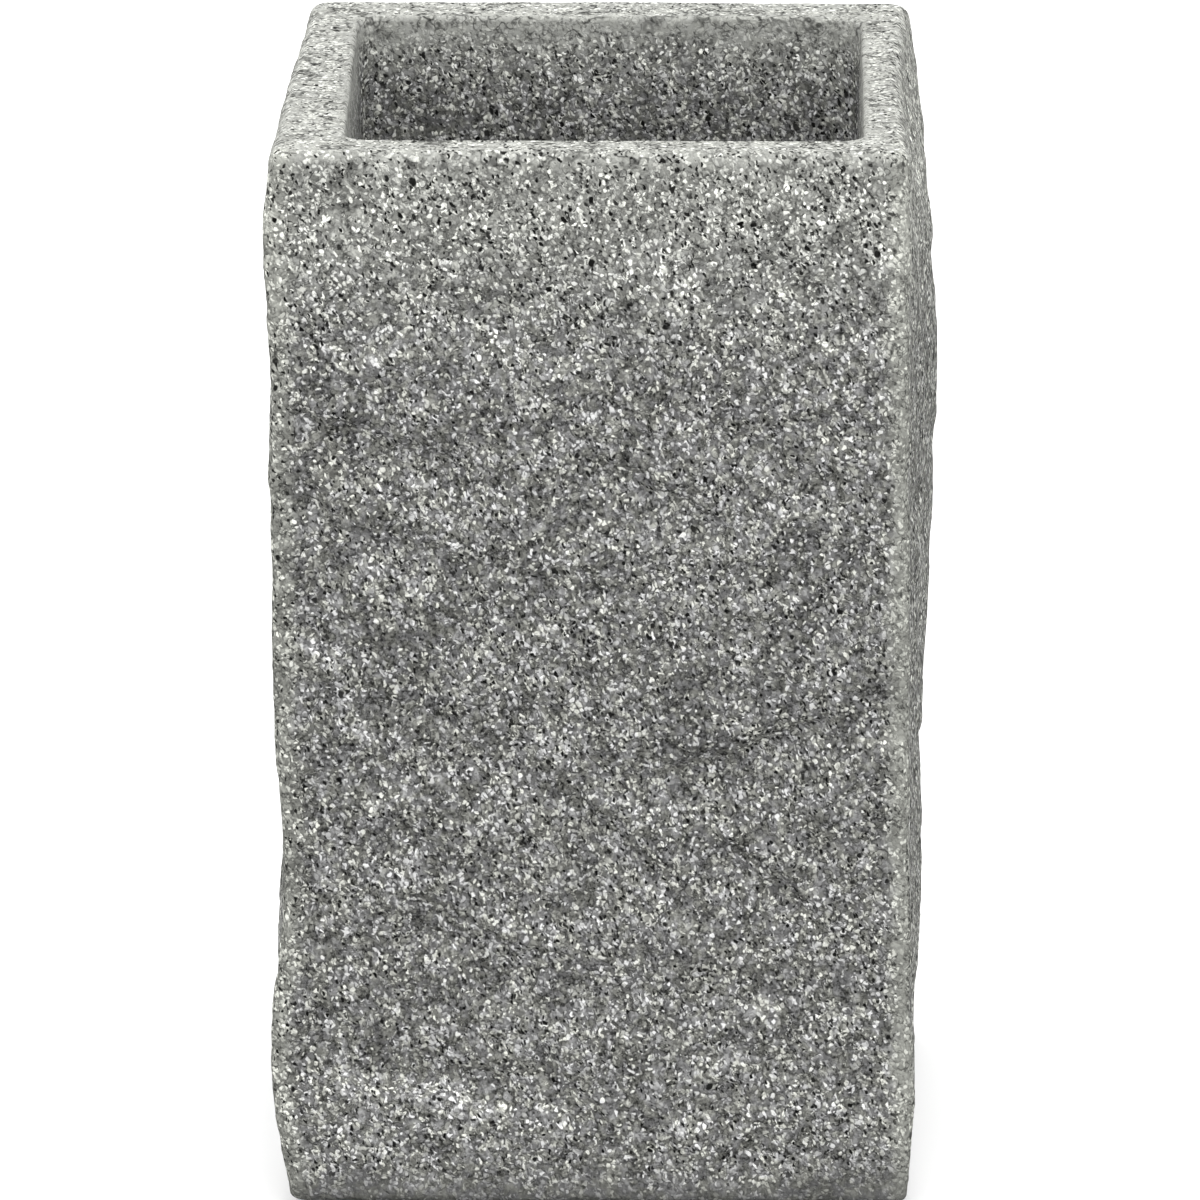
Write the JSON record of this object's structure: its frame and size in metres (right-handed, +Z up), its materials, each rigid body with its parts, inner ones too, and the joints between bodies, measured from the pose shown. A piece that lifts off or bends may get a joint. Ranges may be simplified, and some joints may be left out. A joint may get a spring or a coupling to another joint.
{
  "type": "tumbler",
  "caption": "Square stone-effect bathroom tumbler with hewn outer faces, a rounded rim and a deep square mouth, standing on small non-slip feet.",
  "frame": {"origin": "middle of the outline in plan, on the surface that the feet stand on", "axes": "+Z up out of the mouth, -Y towards the front face, +X to the right of someone facing the front"},
  "size_m": [0.0687, 0.0685, 0.1125],
  "materials": {
    "cast_stone": "speckled grey resin and quartz sand, fine grain, satin",
    "foot_rubber": "matt grey polyurethane"
  },
  "bodies": {
    "root": {"body": "cast_stone", "foot_front_left": "foot_rubber", "foot_front_right": "foot_rubber", "foot_back_left": "foot_rubber", "foot_back_right": "foot_rubber"}
  },
  "joints": []
}
